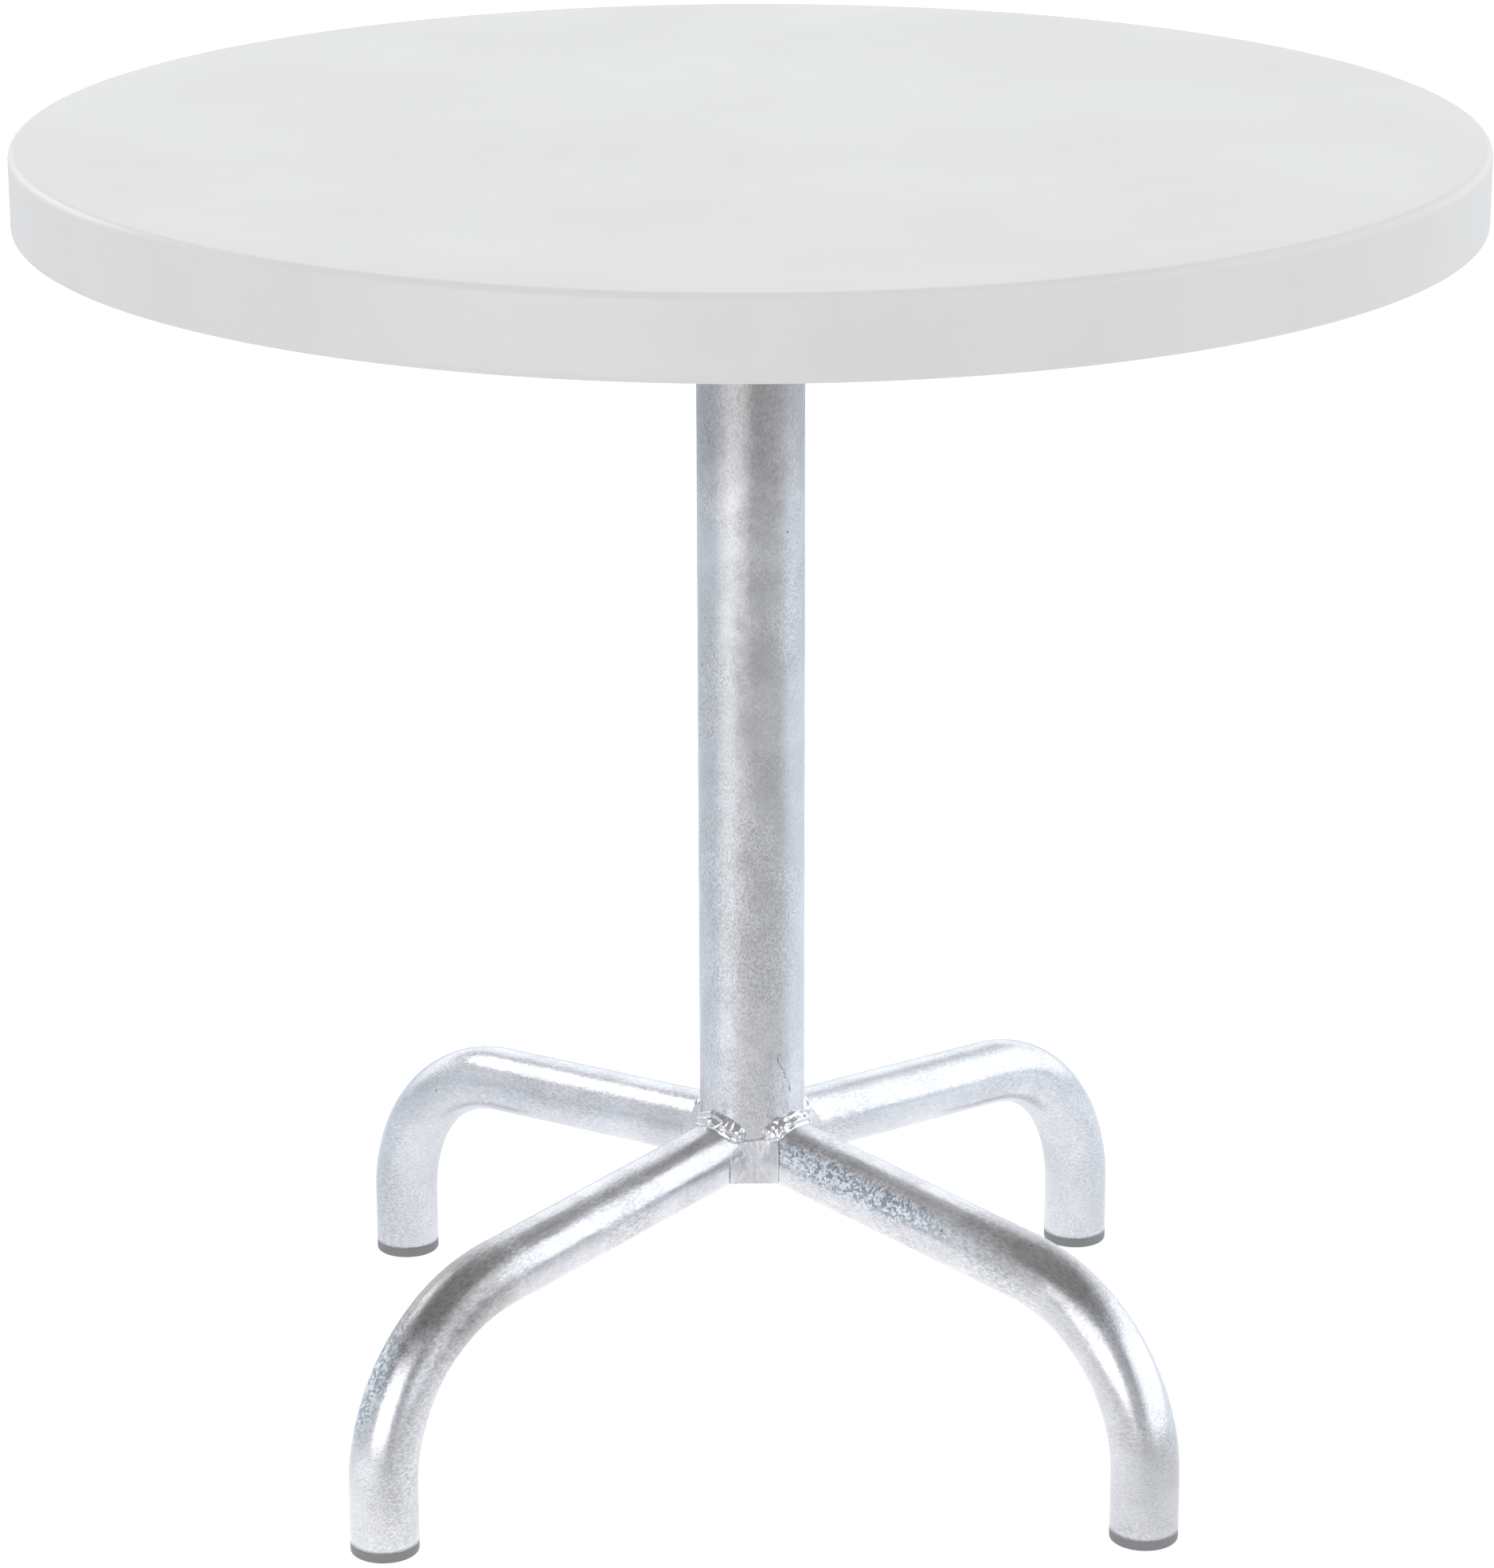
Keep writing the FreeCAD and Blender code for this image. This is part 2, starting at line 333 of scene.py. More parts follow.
def surface_group(name, inputs):
    """A node group that gives colour, roughness and height, with inputs of the given defaults."""
    group = bpy.data.node_groups.new(name, "ShaderNodeTree")
    for label, default in inputs.items():
        socket = group.interface.new_socket(label, in_out="INPUT", socket_type=socket_kind(default))
        socket.default_value = default
    for label, kind in (("Colour", "Color"), ("Roughness", "Float"), ("Height", "Float")):
        group.interface.new_socket(label, in_out="OUTPUT", socket_type="NodeSocket" + kind)
    entry = group.nodes.new("NodeGroupInput")
    leave = group.nodes.new("NodeGroupOutput")
    return group, entry.outputs, leave.inputs


def new_material(name):
    """A material, its node tree and its Principled shader."""
    material = bpy.data.materials.new(name)
    material.use_nodes = True
    return material, material.node_tree, material.node_tree.nodes["Principled BSDF"]


def bump(tree, shader, height, distance):
    """Gives a shader fine relief, in which a height of 1 stands up by the distance."""
    made = add_node(tree, "Bump", {"Height": height, "Distance": distance, "Strength": 1.0})
    tree.links.new(made.outputs[0], shader.inputs["Normal"])


def surface_material(name, group, values, bump_height, metallic=0.0):
    """A material whose colour, roughness and relief come from a group with the given inputs."""
    if name in bpy.data.materials:
        return bpy.data.materials[name]
    material, tree, shader = new_material(name)
    surface = add_node(tree, "Group", node_tree=group)
    for label, value in values.items():
        surface.inputs[label].default_value = value
    tree.links.new(surface.outputs["Colour"], shader.inputs["Base Color"])
    tree.links.new(surface.outputs["Roughness"], shader.inputs["Roughness"])
    shader.inputs["Metallic"].default_value = metallic
    bump(tree, shader, surface.outputs["Height"], bump_height)
    return material


# ---- shared effects

WHITE = (1, 1, 1, 1)
OUT_OF_REACH = (0, 0, -9)
CRYSTAL_DARK = (0.48, 0.54, 0.61, 1)
CRYSTAL_BRIGHT = (1.30, 1.36, 1.38, 1)
PIT_COLOUR = (0.16, 0.16, 0.17, 1)
PIT_SPACING = 30 * MM


def zinc_group():
    """Hot-dip zinc: frosting, clouds, a darker patch (painted shade on the column), a crystal field, runs,
    pits.
    """
    if "Zinc coat" in bpy.data.node_groups:
        return bpy.data.node_groups["Zinc coat"]
    settings = bpy.context.scene.bistro_zinc
    group, given, result = surface_group("Zinc coat", {
        "Bright colour": (*settings.tint, 1),
        "Dull and shade colour": (*settings.dull_and_shade, 1),
        "Frosting": 0.5,
        "Base roughness": 0.24,
        "Turn": (0, 0, 0),
        "Grain stretch": (1, 1, 1),
        "Patch centre": OUT_OF_REACH,
        "Patch size": (1, 1, 1),
        "Patch lower edge": -1.0,
        "Patch strength": 0.85,
        "Crystal centre": OUT_OF_REACH,
        "Crystal size": (1, 1, 1)})
    place = object_place(group)
    turned = add_node(group, "VectorRotate", {"Vector": place, "Rotation": given["Turn"]},
                      rotation_type="EULER_XYZ", invert=True).outputs[0]
    stretched = vector_maths(group, "MULTIPLY", turned, given["Grain stretch"])
    clouds = noise_value(group, place, 34 * MM, 4.0, 0.6)
    blotches = noise_value(group, place, 14 * MM, 4.0, 0.65)
    frost_zone = map_range(group, noise_value(group, place, 55 * MM, 3.0), 0.40, 0.62)
    grain = noise_value(group, stretched, settings.grain, 3.0, 0.7)
    runs = noise_value(group, place, 9 * MM, 2.0, 0.5, (1, 1, 0.08))
    pit_cells = add_node(group, "TexVoronoi", {"Vector": place, "Scale": 1 / PIT_SPACING})
    pits = map_range(group, pit_cells.outputs["Distance"], 0.018, 0.030, 1.0, 0.0)
    frosted = multiply(group, frost_zone, given["Frosting"])

    ragged = weighted_sum(group, (blotches, 0.9), (grain, 0.35))
    # The patch mixes in the darker zinc colour; on the column it is painted shade under the top.
    patch = zone(group, turned, given["Patch centre"], given["Patch size"], ragged)
    above = maths(group, "SUBTRACT", parts_of(group, turned)["Z"], given["Patch lower edge"])
    above = add(group, above, multiply(group, clouds, 6 * MM))
    patch = multiply(group, patch, map_range(group, above, 2.6 * MM, 3.4 * MM))
    crystal_zone = zone(group, turned, given["Crystal centre"], given["Crystal size"], ragged)
    cells = add_node(group, "TexVoronoi", {"Vector": turned, "Scale": 1 / settings.spangle})
    facet = add_node(group, "SeparateColor", {0: cells.outputs["Color"]}).outputs
    sparkle = mix_colour(group, map_range(group, facet[0], 0.2, 0.8), CRYSTAL_DARK, CRYSTAL_BRIGHT)
    sparkle = mix_colour(group, crystal_zone, WHITE, sparkle)

    cloudy = map_range(group, clouds, 0.3, 0.75, 0.90, 1.07)
    speckle = map_range(group, grain, 0.33, 0.68, 0.69, 1.22)
    speckled = blend_value(group, add(group, 0.35, multiply(group, frosted, 0.65)), 1.0, speckle)
    brightness = multiply(group, cloudy, speckled)
    bright = tinted(group, given["Bright colour"], brightness)
    bright = tinted(group, bright, sparkle)
    coarse_grain = noise_value(group, stretched, settings.grain * 1.6, 4.0, 0.7)
    brushed = map_range(group, coarse_grain, 0.3, 0.7, 0.6, 1.5)
    dull_and_shade = tinted(group, given["Dull and shade colour"], brushed)
    coloured = mix_colour(group, multiply(group, patch, given["Patch strength"]), bright, dull_and_shade)
    pitted = mix_colour(group, multiply(group, pits, 0.8), coloured, PIT_COLOUR)
    group.links.new(pitted, result["Colour"])

    blotchy = map_range(group, blotches, 0.35, 0.65, -1.0, 1.0)
    rough = weighted_sum(
        group, (given["Base roughness"], 1.0), (frosted, 0.10), (patch, 0.08), (blotchy, 0.045))
    rough = blend_value(group, crystal_zone, rough, map_range(group, facet[1], 0, 1, 0.10, 0.32))
    group.links.new(rough, result["Roughness"])

    grain_depth = add(group, 0.30, multiply(group, frosted, 0.40))
    crystal_cells = multiply(group, cells.outputs["Distance"], crystal_zone)
    height = weighted_sum(
        group, (clouds, 1.2), (runs, 0.35), (blotches, 0.8), (grain, grain_depth),
        (crystal_cells, -0.8), (pits, -0.5))
    group.links.new(height, result["Height"])
    return group


DUST_COLOUR = (0.42, 0.41, 0.40, 1)
DUST_SPACING = 32 * MM


def moulding_group():
    """Plastic from a mould: orange peel, a slow waviness, faint scuffs and dust."""
    if "Moulded surface" in bpy.data.node_groups:
        return bpy.data.node_groups["Moulded surface"]
    group, given, result = surface_group("Moulded surface", {
        "Colour": (0.8, 0.8, 0.8, 1),
        "Scuffs": 0.2,
        "Peel size": 3 * MM,
        "Base roughness": 0.3})
    place = object_place(group)
    peel_scale = maths(group, "DIVIDE", 1.0, given["Peel size"])
    peel_inputs = {"Vector": place, "Scale": peel_scale, "Detail": 2.0}
    peel = add_node(group, "TexNoise", peel_inputs).outputs["Fac"]
    waves = noise_value(group, place, 120 * MM, 1.0)
    tone = map_range(group, noise_value(group, place, 60 * MM, 4.0, 0.6), 0.3, 0.7, 0.985, 1.01)
    scratches = noise_value(group, place, 2.4 * MM, 3.0, 0.6, (1, 0.04, 0.3))
    cross_scratches = noise_value(group, place, 2.1 * MM, 3.0, 0.6, (0.05, 1, 0.3))
    marks = map_range(group, maths(group, "MAXIMUM", scratches, cross_scratches), 0.66, 0.78)
    marks = multiply(group, marks, given["Scuffs"])
    dust_cells = add_node(group, "TexVoronoi", {"Vector": place, "Scale": 1 / DUST_SPACING})
    dust = map_range(group, dust_cells.outputs["Distance"], 0.010, 0.020, 1.0, 0.0)
    toned = tinted(group, given["Colour"], tone)
    specked = mix_colour(group, multiply(group, dust, 0.35), toned, DUST_COLOUR)
    group.links.new(specked, result["Colour"])
    scuffed = {0: marks, 1: 0.22, 2: given["Base roughness"]}
    rough = add_node(group, "Math", scuffed, operation="MULTIPLY_ADD").outputs[0]
    rough = maths(group, "ADD", rough, map_range(group, waves, 0.3, 0.7, -0.02, 0.03), clamp=True)
    group.links.new(rough, result["Roughness"])
    height = weighted_sum(group, (peel, 0.12), (waves, 1.6), (marks, -0.15))
    group.links.new(height, result["Height"])
    return group


# ---- finishes

def zinc_material(name, bump_height, **values):
    """A zinc finish; values are inputs of the zinc coat, with an underscore for each space."""
    inputs = {label.replace("_", " "): value for label, value in values.items()}
    return surface_material(name, zinc_group(), inputs, bump_height, 1.0)


CRACK_LOW = 192 * MM
CRACK_HIGH = 215 * MM
CRACK_FADE = 1 * MM
CRACK_LOW_END = -24.0 * MM
CRACK_HIGH_END = -32.2 * MM
CRACK_COLOUR = (0.07, 0.07, 0.075, 1)


def column_zinc():
    """Zinc of the column, with painted shade under the top and a hairline crack in the coat near a leg.

    The crack's ends are placed by height and by distance round the column from its right side.
    """
    # The patch paints shade on the column just under the top.
    material = zinc_material(
        "Column zinc", 0.13 * MM, Frosting=0.8, Base_roughness=0.25, Grain_stretch=(1, 1, 0.7),
        Patch_centre=(0, 0, COLUMN_HIGH.z - 90 * MM), Patch_size=(1, 1, 82 * MM), Patch_strength=0.52)
    tree = material.node_tree
    shader = tree.nodes["Principled BSDF"]
    place = object_place(tree)
    axes = parts_of(tree, place)
    round_about = multiply(tree, maths(tree, "ARCTAN2", axes["Y"], axes["X"]), COLUMN_RADIUS)
    course = map_range(tree, axes["Z"], CRACK_HIGH, CRACK_LOW, CRACK_HIGH_END, CRACK_LOW_END)
    wander = multiply(tree, add(tree, noise_value(tree, place, 6 * MM, 4.0, 0.7), -0.5), 8 * MM)
    aside = maths(tree, "ABSOLUTE", maths(tree, "SUBTRACT", round_about, add(tree, course, wander)))
    line = map_range(tree, aside, 0.15 * MM, 0.5 * MM, 1.0, 0.0)
    above = map_range(tree, axes["Z"], CRACK_LOW - CRACK_FADE, CRACK_LOW + CRACK_FADE)
    below = map_range(tree, axes["Z"], CRACK_HIGH, CRACK_HIGH + 2 * CRACK_FADE, 1.0, 0.0)
    strength = multiply(tree, multiply(tree, line, multiply(tree, above, below)), 0.68)
    coat = shader.inputs["Base Color"].links[0].from_socket
    cracked = mix_colour(tree, strength, coat, CRACK_COLOUR)
    tree.links.new(cracked, shader.inputs["Base Color"])
    return material


# Marks of the front legs, placed along the leg's straight run, sideways and square to it
LEG_MARKS = {
    3: {"Patch_centre": (236 * MM, -2 * MM, 168 * MM),
        "Patch_size": (50 * MM, 46 * MM, 40 * MM),
        "Patch_strength": 0.72,
        "Crystal_centre": (280 * MM, -14 * MM, 134 * MM),
        "Crystal_size": (38 * MM, 19 * MM, 40 * MM)},
    4: {"Patch_centre": (218 * MM, -6 * MM, 169 * MM),
        "Patch_size": (66 * MM, 14 * MM, 19 * MM),
        "Patch_strength": 0.62,
        "Patch_lower_edge": 143 * MM,
        "Crystal_centre": (70 * MM, -19 * MM, 166 * MM),
        "Crystal_size": (78 * MM, 10 * MM, 9 * MM)},
}


def leg_zinc(number, azimuth):
    """Zinc of one leg, brushed along it, and frostier on the two front legs."""
    in_front = number in LEG_MARKS
    return zinc_material(
        f"Leg zinc {number}", 0.15 * MM if in_front else 0.24 * MM, Frosting=0.8 if in_front else 0.45,
        Base_roughness=0.23 if in_front else 0.19, Turn=(0, FALL, azimuth), Grain_stretch=(0.35, 1, 1),
        **LEG_MARKS.get(number, {}))


def weld_zinc():
    return zinc_material("Weld zinc", 0.10 * MM, Frosting=0.3, Base_roughness=0.14)


def fill_zinc():
    return zinc_material("Fill zinc", 0.14 * MM, Frosting=0.9, Base_roughness=0.50)


def cross_zinc():
    return zinc_material("Cross zinc", 0.12 * MM, Frosting=0.8, Base_roughness=0.30)


def moulded_material(name, colour, scuffs, peel, roughness, bump_height):
    """A moulded plastic finish, with orange peel of the given size."""
    inputs = {"Colour": (*colour, 1), "Scuffs": scuffs, "Peel size": peel, "Base roughness": roughness}
    return surface_material(name, moulding_group(), inputs, bump_height)


def gelcoat():
    colour = bpy.context.scene.bistro_gelcoat.colour
    material = moulded_material("Gelcoat", colour, 0.25, 3 * MM, 0.34, 0.05 * MM)
    shader = material.node_tree.nodes["Principled BSDF"]
    shader.inputs["Specular IOR Level"].default_value = 0.32
    return material


def cap_plastic():
    colour = bpy.context.scene.bistro_cap.colour
    return moulded_material("Cap plastic", colour, 0.8, 1.2 * MM, 0.48, 0.06 * MM)


def raw_laminate():
    """Hand-laid glass fibre: strands under a thin, brushed resin skin."""
    if "Raw laminate" in bpy.data.materials:
        return bpy.data.materials["Raw laminate"]
    material, tree, shader = new_material("Raw laminate")
    place = object_place(tree)
    strands = noise_value(tree, place, 3.0 * MM, 3.0, 0.6, (1, 0.10, 1))
    across = noise_value(tree, place, 3.4 * MM, 3.0, 0.6, (0.10, 1, 1))
    fibre = map_range(tree, maths(tree, "MAXIMUM", strands, across), 0.45, 0.75)
    brushed = noise_value(tree, place, 22 * MM, 3.0, 0.6, (0.4, 1, 1))
    base = mix_colour(tree, fibre, (0.50, 0.49, 0.47, 1), (0.66, 0.65, 0.63, 1))
    colour = mix_colour(tree, multiply(tree, brushed, 0.35), base, (0.47, 0.45, 0.41, 1))
    tree.links.new(colour, shader.inputs["Base Color"])
    tree.links.new(map_range(tree, fibre, 0, 1, 0.42, 0.68), shader.inputs["Roughness"])
    height = add(tree, multiply(tree, fibre, 0.5), brushed)
    bump(tree, shader, height, 0.5 * MM)
    return material


def plywood():
    """Plywood: long grain over plies that show at the edge."""
    if "Plywood" in bpy.data.materials:
        return bpy.data.materials["Plywood"]
    material, tree, shader = new_material("Plywood")
    place = object_place(tree)
    grain = noise_value(tree, place, 6 * MM, 5.0, 0.6, (0.06, 1, 1))
    plies = add_node(tree, "TexWave", {"Vector": place, "Scale": 95.0, "Distortion": 0.4},
                     bands_direction="Z").outputs["Fac"]
    light = mix_colour(tree, grain, (0.62, 0.45, 0.27, 1), (0.78, 0.62, 0.42, 1))
    colour = mix_colour(tree, multiply(tree, plies, 0.35), light, (0.42, 0.28, 0.16, 1))
    tree.links.new(colour, shader.inputs["Base Color"])
    shader.inputs["Roughness"].default_value = 0.7
    bump(tree, shader, grain, 0.2 * MM)
    return material


def turned_metal(name, colour, roughness):
    """Machined metal with fine marks."""
    if name in bpy.data.materials:
        return bpy.data.materials[name]
    material, tree, shader = new_material(name)
    place = object_place(tree)
    marks = noise_value(tree, place, 0.8 * MM, 3.0, 0.6, (1, 1, 6))
    tarnish = noise_value(tree, place, 5 * MM, 3.0)
    dark = tuple(0.72 * channel for channel in colour)
    tree.links.new(mix_colour(tree, tarnish, (*colour, 1), (*dark, 1)), shader.inputs["Base Color"])
    tree.links.new(map_range(tree, marks, 0.3, 0.7, roughness, roughness + 0.2), shader.inputs["Roughness"])
    shader.inputs["Metallic"].default_value = 1.0
    bump(tree, shader, marks, 0.02 * MM)
    return material


# ---- legs and their seams

class LegFrame:
    """Directions of a leg: outwards, sideways, up, and along and square to its straight run."""

    def __init__(self, azimuth):
        self.out = Vector((cos(azimuth), sin(azimuth), 0))
        self.side = Vector((-sin(azimuth), cos(azimuth), 0))
        self.up = Vector((0, 0, 1))
        self.along = self.out * cos(FALL) - self.up * sin(FALL)
        self.lift = self.out * sin(FALL) + self.up * cos(FALL)
        self.start = self.up * LEG_AXIS_HEIGHT

    def cope(self, angle, column_radius=COLUMN_RADIUS):
        """Where along the straight run its wall meets the column, by angle from its top."""
        side = LEG_RADIUS * sin(angle)
        reach = sqrt(column_radius ** 2 - side ** 2)
        return (reach - LEG_RADIUS * cos(angle) * sin(FALL)) / cos(FALL)

    def wall(self, distance, angle):
        """Point on the straight run's wall."""
        spoke = self.lift * cos(angle) + self.side * sin(angle)
        return self.start + self.along * distance + spoke * LEG_RADIUS

    def bend(self, angle):
        """Centreline point and outward spoke in the bend, by angle above level."""
        spoke = self.out * cos(angle) + self.up * sin(angle)
        centre = self.out * (FOOT_RADIUS - BEND_RADIUS) + self.up * BEND_END_HEIGHT
        return centre + spoke * BEND_RADIUS, spoke

    def around(self, centre, spoke, angle, flat=1.0):
        """Point on the tube's wall about a centre, flattened along the spoke."""
        return centre + (spoke * cos(angle) * flat + self.side * sin(angle)) * LEG_RADIUS


LEG_SIDES = 72
STRAIGHT_RINGS = 54
BEND_RINGS = 46
SHANK_RINGS = 12
COPE_DEPTH = 1.4 * MM
BEND_FLATTENING = 0.025
COAT_UNEVENNESS = 0.16 * MM


def leg_rings(leg):
    """Rings of points along a bent leg, from its cope in the column's wall to its foot."""
    angles = [2 * pi * k / LEG_SIDES for k in range(LEG_SIDES)]
    bend_start, _ = leg.bend(BEND_ANGLE)
    straight_end = (bend_start - leg.start).dot(leg.along)
    rings = []
    for k in range(STRAIGHT_RINGS):
        share = k / STRAIGHT_RINGS
        ring = []
        for angle in angles:
            first = leg.cope(angle, COLUMN_RADIUS - COPE_DEPTH)
            ring.append(leg.wall(first + (straight_end - first) * share, angle))
        rings.append(ring)
    for k in range(BEND_RINGS):
        share = k / BEND_RINGS
        centre, spoke = leg.bend(BEND_ANGLE * (1 - share))
        flat = 1 - BEND_FLATTENING * sin(pi * share) ** 2
        rings.append([leg.around(centre, spoke, angle, flat) for angle in angles])
    foot = leg.out * FOOT_RADIUS
    for k in range(SHANK_RINGS + 1):
        height = BEND_END_HEIGHT + (CAP_FLANGE - BEND_END_HEIGHT) * k / SHANK_RINGS
        centre = foot + leg.up * height
        rings.append([leg.around(centre, leg.out, angle) for angle in angles])
    return rings


def uneven(mesh, size):
    """Moves a mesh's points a little along their normals, as a dipped zinc coat lies."""
    shifts = [vertex.normal * lump(vertex.co, size, COAT_UNEVENNESS) for vertex in mesh.vertices]
    for vertex, shift in zip(mesh.vertices, shifts):
        vertex.co += shift


# ---- operators

class BISTRO_OT_moulded_top(bpy.types.Operator):
    """Lay up the round top: gelcoat outside, raw laminate inside the turned-down rim"""
    bl_idname = "bistro.moulded_top"
    bl_label = "Moulded Top"

    def execute(self, context):
        height = TOP_HIGH.z
        rim_bottom = TOP_LOW.z
        underside = height - FACE_WALL
        inner = TOP_RADIUS - RIM_WALL
        chamfer = 0.8 * MM
        side_top = height - TOP_EDGE_RADIUS
        side_bottom = rim_bottom + RIM_EDGE_RADIUS
        corner = underside - INNER_CORNER_RADIUS
        outside = [(TOP_RADIUS * share, height) for share in (0, 0.5, 0.8, 0.93)]
        outside += rounded((TOP_RADIUS - TOP_EDGE_RADIUS, side_top), TOP_EDGE_RADIUS, 90, 0, 10)
        outside += [(TOP_RADIUS, side_top + (side_bottom - side_top) * k / 8) for k in range(1, 8)]
        outside += rounded((TOP_RADIUS - RIM_EDGE_RADIUS, side_bottom), RIM_EDGE_RADIUS, 0, -90, 6)
        inside = [(inner + chamfer, rim_bottom), (inner, rim_bottom + chamfer)]
        inside += [(inner, rim_bottom + (corner - rim_bottom) * k / 10) for k in range(1, 10)]
        inside += rounded((inner - INNER_CORNER_RADIUS, corner), INNER_CORNER_RADIUS, 0, 90, 6)
        inside += [(inner * share, underside) for share in (0.93, 0.88, 0.5, 0)]
        mesh, bands = lathe("moulded_top", outside + inside, context.scene.bistro_gelcoat.segments)
        piece = new_piece("moulded_top", mesh, "gelcoat", [gelcoat(), raw_laminate()], "table_top")
        for polygon in mesh.polygons:
            polygon.material_index = 0 if bands[polygon.index] < len(outside) else 1
        return {"FINISHED"}


class BISTRO_OT_core(bpy.types.Operator):
    """Finish the core board and the laminate that holds it under the top"""
    bl_idname = "bistro.core"
    bl_label = "Core"

    def execute(self, context):
        finish_node("core_laminate", raw_laminate(), 1.0 * MM)
        finish_node("core_board", plywood())
        finish_node("threaded_inserts", turned_metal("Insert brass", (0.75, 0.58, 0.28), 0.3))
        return {"FINISHED"}


class BISTRO_OT_steel_cross(bpy.types.Operator):
    """Finish the head plate, its arms and the welds between them"""
    bl_idname = "bistro.steel_cross"
    bl_label = "Steel Cross"

    def execute(self, context):
        finish_node("head_plate", cross_zinc(), 0.5 * MM)
        finish_node("head_weld", weld_zinc(), 0.5 * MM)
        for k in range(1, 5):
            finish_node(f"cross_arm_{k}", cross_zinc(), 0.5 * MM)
            finish_node(f"arm_weld_{k}", weld_zinc())
        return {"FINISHED"}


class BISTRO_OT_screws(bpy.types.Operator):
    """Finish the screws and washers that hold the top to the cross"""
    bl_idname = "bistro.screws"
    bl_label = "Screws"

    def execute(self, context):
        steel = turned_metal("Screw steel", (0.66, 0.66, 0.65), 0.28)
        finish_node("arm_screws", steel, 0.3 * MM)
        finish_node("arm_washers", steel, 0.2 * MM)
        return {"FINISHED"}


class BISTRO_OT_column(bpy.types.Operator):
    """Build the galvanised column tube"""
    bl_idname = "bistro.column"
    bl_label = "Column"

    def execute(self, context):
        sides = 128
        rows = 150
        edge = 0.7 * MM
        low = COLUMN_LOW.z + edge
        high = COLUMN_HIGH.z
        inner = COLUMN_RADIUS - COLUMN_WALL
        outline = [(inner, high), (inner, low)]
        outline += rounded((inner + edge, low), edge, 180, 270, 3)[1:]
        outline += rounded((COLUMN_RADIUS - edge, low), edge, 270, 360, 3)
        outline += [(COLUMN_RADIUS, low + (high - low) * k / rows) for k in range(1, rows + 1)]
        outline.append((inner, high))
        mesh, _ = lathe("column", outline, sides)
        new_piece("column", mesh, "galvanised_steel", [column_zinc()], "column_tube")
        uneven(mesh, 26 * MM)
        return {"FINISHED"}


class BISTRO_OT_legs(bpy.types.Operator):
    """Bend the four galvanised legs and cope them to the column"""
    bl_idname = "bistro.legs"
    bl_label = "Legs"

    def execute(self, context):
        for k, azimuth in enumerate(LEG_AZIMUTHS):
            name = f"bent_leg_{k + 1}"
            mesh = skin(name, leg_rings(LegFrame(azimuth)))
            new_piece(name, mesh, "galvanised_steel", [leg_zinc(k + 1, azimuth)], f"leg_{k + 1}")
            uneven(mesh, 22 * MM)
        return {"FINISHED"}


class BISTRO_OT_leg_welds(bpy.types.Operator):
    """Lay the rippled weld beads over the legs' copes"""
    bl_idname = "bistro.leg_welds"
    bl_label = "Leg Welds"

    def execute(self, context):
        for k, azimuth in enumerate(LEG_AZIMUTHS):
            name = f"weld_bead_{k + 1}"
            mesh = skin(name, bead_rings(LegFrame(azimuth), k))
            new_piece(name, mesh, "galvanised_steel", [weld_zinc()], f"leg_weld_{k + 1}")
        return {"FINISHED"}


class BISTRO_OT_crotch_welds(bpy.types.Operator):
    """Fill the crotches between neighbouring legs with weld metal and zinc runs"""
    bl_idname = "bistro.crotch_welds"
    bl_label = "Crotch Welds"

    def execute(self, context):
        for k, azimuth in enumerate(LEG_AZIMUTHS):
            name = f"crotch_fill_{k + 1}"
            mesh = skin(name, fill_rings(azimuth + QUARTER / 2, k))
            new_piece(name, mesh, "galvanised_steel", [fill_zinc()], f"crotch_weld_{k + 1}")
        return {"FINISHED"}


class BISTRO_OT_foot_caps(bpy.types.Operator):
    """Mould the four plastic foot caps"""
    bl_idname = "bistro.foot_caps"
    bl_label = "Foot Caps"

    def execute(self, context):
        edge = 1.0 * MM
        lip = 0.7 * MM
        dish = 0.5 * MM
        stem = LEG_RADIUS - 3.85 * MM
        outline = [(0, dish), (LEG_RADIUS * 0.45, dish), (LEG_RADIUS * 0.5, 0)]
        outline += rounded((LEG_RADIUS - edge, edge), edge, -90, 0, 8)
        outline += rounded((LEG_RADIUS - lip, CAP_FLANGE - lip), lip, 0, 90, 3)
        outline += [(stem, CAP_FLANGE), (stem, CAP_HIGH.z), (0, CAP_HIGH.z)]
        for k, azimuth in enumerate(LEG_AZIMUTHS):
            name = f"foot_plug_{k + 1}"
            centre = (FOOT_RADIUS * cos(azimuth), FOOT_RADIUS * sin(azimuth))
            mesh, _ = lathe(name, outline, 72, centre)
            new_piece(name, mesh, "cap_plastic", [cap_plastic()], f"foot_cap_{k + 1}")
        return {"FINISHED"}


class BISTRO_OT_stage(bpy.types.Operator):
    """Set up the pale floor, the soft lights, the surroundings and the camera"""
    bl_idname = "bistro.stage"
    bl_label = "Stage"

    def execute(self, context):
        build_floor(context.scene.bistro_stage.floor_colour)
        build_surroundings(context.scene)
        build_lights()
        build_camera(context.scene)
        context.scene.view_settings.view_transform = "Standard"
        return {"FINISHED"}


# ---- welds

BEAD_HALF_ANGLE = radians(60)
BEAD_SAMPLES = 220
BEAD_ACROSS = 28
BEAD_END_TAPER = 7 * MM
BEAD_BULGE = 0.80
BEAD_ROOT = 2 * MM
TOE_SINK = 0.5 * MM
RIDGES = 2.6
RIDGE_SHARE = 1.15
RIPPLE_SHARE = 0.50
RELIEF = 1.3 * MM
SEAM_STEP = 1e-3


